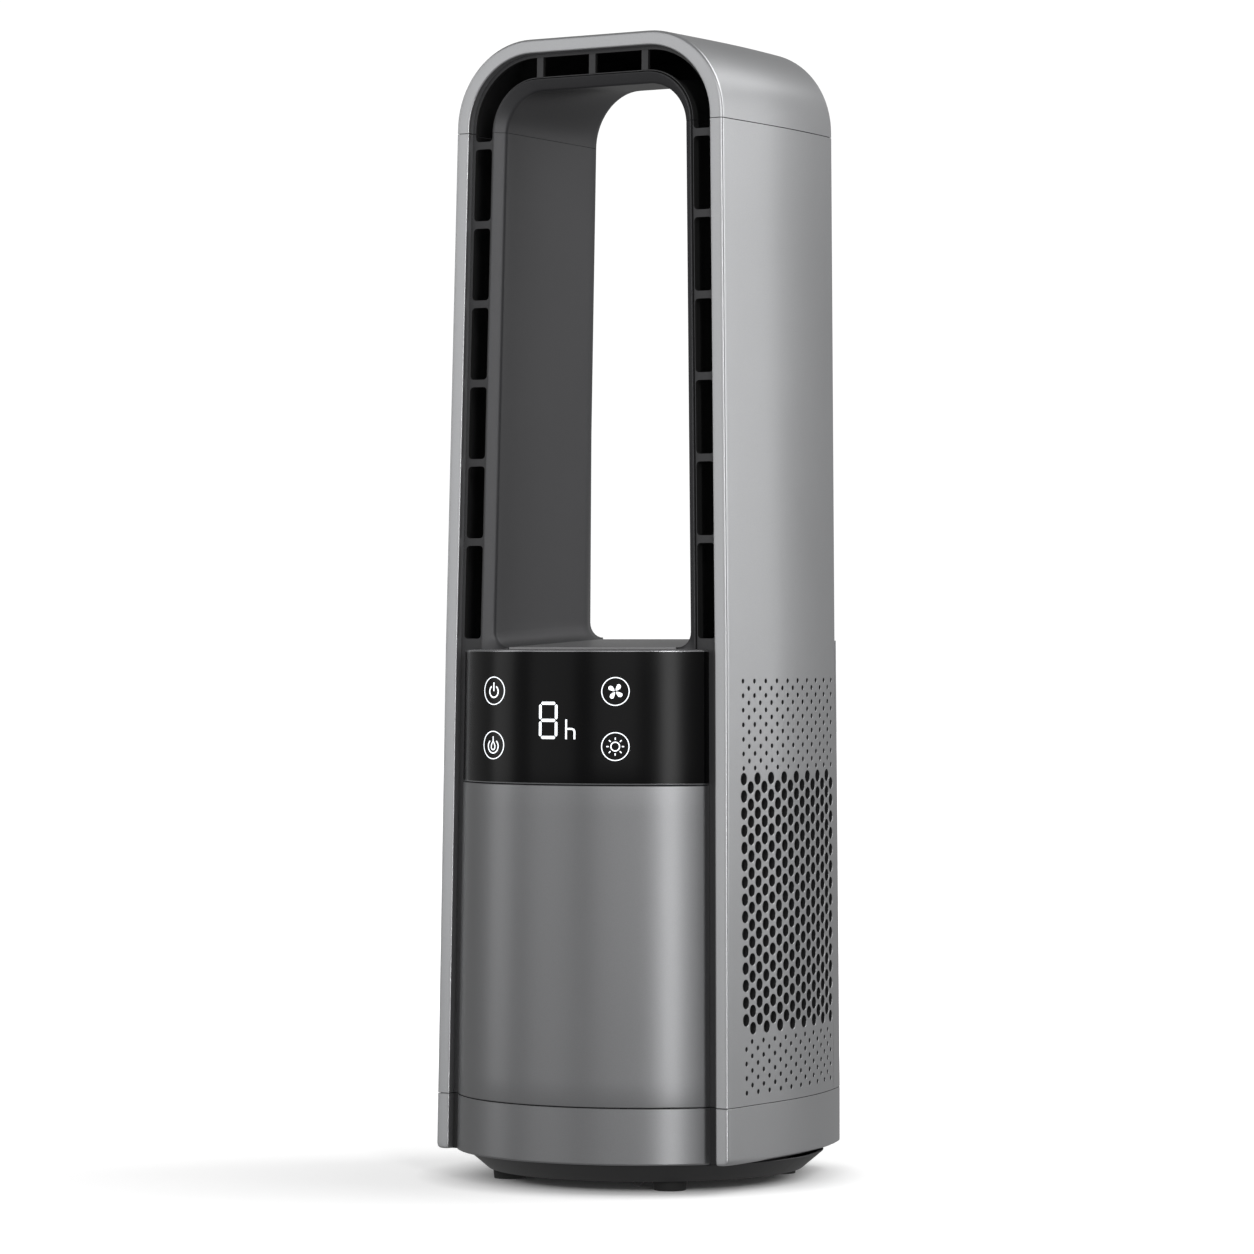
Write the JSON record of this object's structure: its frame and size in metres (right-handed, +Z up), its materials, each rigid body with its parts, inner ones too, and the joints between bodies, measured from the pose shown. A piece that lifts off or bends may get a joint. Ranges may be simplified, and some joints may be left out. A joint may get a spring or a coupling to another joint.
{
  "type": "tower fan heater",
  "caption": "Slim bladeless tower fan heater: an open slotted air loop above a body with perforated sides and touch display, swinging on a round foot.",
  "frame": {"origin": "on the floor under the swing axis, at the middle of the round foot", "axes": "+Z up along the swing axis; the front with its display faces -Y; +X to the right as seen from the front"},
  "size_m": [0.192, 0.2046, 0.61],
  "materials": {
    "satin_cover": "satin metallic paint",
    "black_panel": "polished",
    "dark_grille": "matte",
    "dark_inner": "satin",
    "dark_foot": "satin",
    "rubber": "matte",
    "screen_fabric": "fine mesh",
    "steel": "brushed",
    "screw_steel": "plated",
    "white_acetal": "smooth",
    "black_plastic": "matte",
    "aluminium": "plain",
    "lit_display": "lit behind the panel",
    "circuit_board": "lacquered"
  },
  "bodies": {
    "foot": {"foot_shell": "dark_foot", "foot_pads": "rubber", "ballast_plate": "steel", "ballast_screws": "screw_steel", "glide_ring": "white_acetal", "swing_ring_gear": "white_acetal", "hub_washer": "steel", "hub_screws": "screw_steel", "tip_switch_body": "black_plastic", "tip_switch_spring": "steel"},
    "tip_plunger": {"tip_switch_plunger": "black_plastic"},
    "tower": {"right_side_cover": "satin_cover", "left_side_cover": "satin_cover", "top_cap": "satin_cover", "front_cover": "satin_cover", "back_cover": "satin_cover", "base_ring": "satin_cover", "display_panel": "black_panel", "right_outlet_grille": "dark_grille", "left_outlet_grille": "dark_grille", "top_outlet_grille": "dark_grille", "right_inner_wall": "dark_inner", "left_inner_wall": "dark_inner", "top_inner_wall": "dark_inner", "saddle_cover": "dark_inner", "cord_gland": "rubber", "motor_rubber_rings": "rubber", "right_dust_screen": "screen_fabric", "left_dust_screen": "screen_fabric", "fan_motor": "steel", "heater_frame": "steel", "back_cover_screws": "screw_steel", "turntable_screws": "screw_steel", "swing_motor_screws": "screw_steel", "turntable": "black_plastic", "blower_housing": "black_plastic", "blower_stand_legs": "black_plastic", "motor_cup": "black_plastic", "air_duct": "black_plastic", "power_board_parts": "black_plastic", "touch_pads": "black_plastic", "swing_motor": "aluminium", "heater_bars": "aluminium", "heater_fins": "aluminium", "thermal_cutout": "aluminium", "digit_display": "lit_display", "control_board": "circuit_board", "power_board": "circuit_board"},
    "fan_rotor": {"impeller": "black_plastic", "motor_shaft": "steel", "impeller_nut": "screw_steel"},
    "swing_gear": {"swing_pinion": "white_acetal"}
  },
  "joints": [
    {"name": "tower_swing", "type": "hinge", "parent": "foot", "child": "tower", "pos_m": [0, 0, 0.028], "axis": [0, 0, 1], "range_deg": [-40, 40]},
    {"name": "fan_spin", "type": "hinge", "parent": "tower", "child": "fan_rotor", "pos_m": [0, 0, 0.13], "axis": [0, 0, 1], "continuous": true},
    {"name": "swing_gear_turn", "type": "hinge", "parent": "tower", "child": "swing_gear", "pos_m": [0, 0.0375, 0.015], "axis": [0, 0, 1], "range_deg": [-161, 161]},
    {"name": "tip_plunger_drop", "type": "slide", "parent": "foot", "child": "tip_plunger", "axis": [0, 0, -1], "range_m": [0, 0.003], "stiffness_N_per_m": 40, "springref_m": 0.006, "deforming": ["tip_switch_spring"]}
  ],
  "couplings": [
    {"joint": "swing_gear_turn", "follows": "tower_swing", "ratio": 4}
  ]
}
